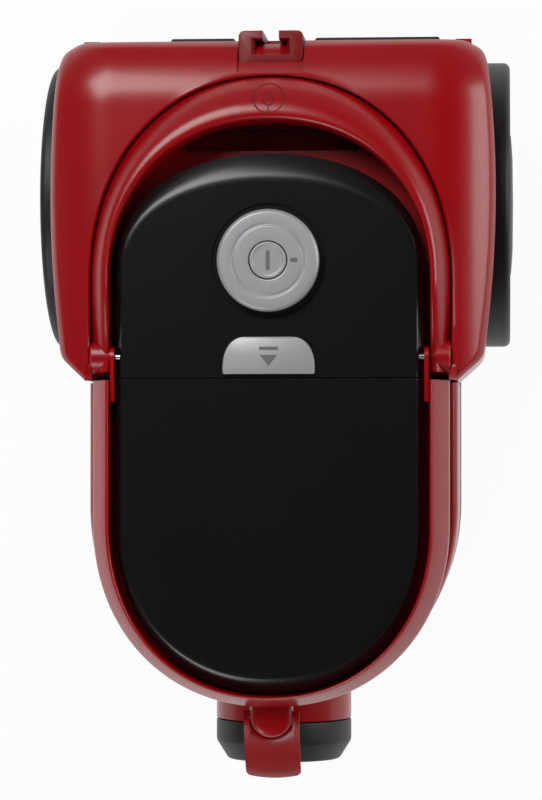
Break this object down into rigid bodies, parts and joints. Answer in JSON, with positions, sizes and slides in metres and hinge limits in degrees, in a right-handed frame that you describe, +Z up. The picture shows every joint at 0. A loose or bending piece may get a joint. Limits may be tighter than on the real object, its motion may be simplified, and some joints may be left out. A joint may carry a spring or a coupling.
{
  "type": "canister vacuum cleaner",
  "caption": "Canister vacuum cleaner with large rear wheels, swivel caster, hinged lid, arched carrying handle, speed dial and round hose inlet.",
  "frame": {"origin": "on the floor, under the middle of the machine's box", "axes": "+X across the machine, +Y towards its rear, +Z up; the hose inlet faces -Y"},
  "size_m": [0.296, 0.46, 0.2314],
  "materials": {
    "red_shell": "moulded ABS, high gloss red",
    "dark_red": "moulded ABS, dark red",
    "black_gloss": "moulded ABS, black, satin gloss",
    "black_plastic": "moulded polypropylene, fine grain",
    "silver": "silver lacquer on ABS",
    "steel": "bright steel",
    "rubber": "black rubber",
    "tyre": "soft black tread",
    "paper": "filter fleece and card",
    "foam": "open foam",
    "core": "laminated core on a steel shaft",
    "fan": "pressed sheet",
    "board": "circuit board",
    "drum": "natural polypropylene"
  },
  "bodies": {
    "case": {"chassis": "black_plastic", "front_body": "red_shell", "rear_housing": "red_shell", "bulkhead": "black_plastic", "finger_well": "dark_red", "console": "black_gloss", "control_board": "board", "power_switch": "black_plastic", "speed_pot": "black_plastic", "release_spring": "steel", "handle_pins": "steel", "lid_hinge_pins": "steel", "lid_seal": "rubber", "inlet_collar": "red_shell", "inlet_ring": "black_plastic", "inlet_seal": "rubber", "bag_plate": "paper", "dust_bag": "paper", "pre_filter": "foam", "motor_casing": "black_plastic", "motor_mounts": "rubber", "exhaust_filter": "paper", "exhaust_grille": "black_plastic", "drum_axle": "steel", "reel_bracket": "black_plastic", "cord_outlet": "black_plastic", "parking_slot": "dark_red", "rear_feet": "red_shell", "axle_left": "steel", "axle_right": "steel", "caster_bush": "steel", "case_screws": "steel"},
    "dial": {"speed_dial": "silver"},
    "power": {"power_button": "silver"},
    "release": {"release_button": "silver"},
    "handle": {"carry_handle": "red_shell"},
    "lid": {"lid_frame": "red_shell", "lid_panel": "black_gloss", "latch_pin": "steel", "latch_spring": "steel"},
    "latch": {"latch_tab": "red_shell"},
    "rotor": {"motor_shaft": "core", "fan": "fan"},
    "drum": {"cord_drum": "drum", "drum_spring": "steel"},
    "brake": {"brake_lever": "dark_red"},
    "left_wheel": {"wheel_left": "black_plastic", "tyre_left": "tyre", "hub_cap_left": "black_plastic"},
    "right_wheel": {"wheel_right": "black_plastic", "tyre_right": "tyre", "hub_cap_right": "black_plastic"},
    "caster": {"caster_fork": "black_plastic", "caster_axle": "steel"},
    "caster_roller": {"caster_wheel": "tyre"}
  },
  "joints": [
    {"name": "dial_turn", "type": "hinge", "parent": "case", "child": "dial", "pos_m": [0, 0.087, 0.225], "axis": [0, 0, 1], "range_deg": [-135, 135]},
    {"name": "power_press", "type": "slide", "parent": "case", "child": "power", "axis": [0, 0, -1], "range_m": [0, 0.002], "stiffness_N_per_m": 300, "springref_m": -0.001},
    {"name": "release_press", "type": "slide", "parent": "case", "child": "release", "axis": [0, 0, -1], "range_m": [0, 0.003], "stiffness_N_per_m": 300, "springref_m": -0.001, "deforming": ["release_spring"]},
    {"name": "handle_lift", "type": "hinge", "parent": "case", "child": "handle", "pos_m": [0, 0.029, 0.206], "axis": [1, 0, 0], "range_deg": [-2, 50]},
    {"name": "lid_open", "type": "hinge", "parent": "case", "child": "lid", "pos_m": [0, 0.029, 0.219], "axis": [-1, 0, 0], "range_deg": [0, 60]},
    {"name": "latch_pull", "type": "hinge", "parent": "lid", "child": "latch", "pos_m": [0, -0.19, 0.196], "axis": [-1, 0, 0], "range_deg": [0, 14], "stiffness_Nm_per_rad": 0.08, "springref_deg": -11.46},
    {"name": "rotor_spin", "type": "hinge", "parent": "case", "child": "rotor", "pos_m": [0.034, 0.09, 0.094], "axis": [0, 1, 0], "continuous": true},
    {"name": "drum_wind", "type": "hinge", "parent": "case", "child": "drum", "pos_m": [-0.06, 0.122, 0.102], "axis": [1, 0, 0], "continuous": true},
    {"name": "brake_release", "type": "hinge", "parent": "case", "child": "brake", "pos_m": [-0.06, 0.092, 0.18], "axis": [1, 0, 0], "range_deg": [0, 5], "stiffness_Nm_per_rad": 0.5, "springref_deg": -5.73},
    {"name": "left_wheel_roll", "type": "hinge", "parent": "case", "child": "left_wheel", "pos_m": [-0.133, 0.13, 0.091], "axis": [1, 0, 0], "continuous": true},
    {"name": "right_wheel_roll", "type": "hinge", "parent": "case", "child": "right_wheel", "pos_m": [0.133, 0.13, 0.091], "axis": [1, 0, 0], "continuous": true},
    {"name": "caster_swivel", "type": "hinge", "parent": "case", "child": "caster", "pos_m": [0, -0.095, 0.055], "axis": [0, 0, 1], "continuous": true},
    {"name": "caster_roll", "type": "hinge", "parent": "caster", "child": "caster_roller", "pos_m": [0, -0.081, 0.022], "axis": [1, 0, 0], "continuous": true}
  ]
}
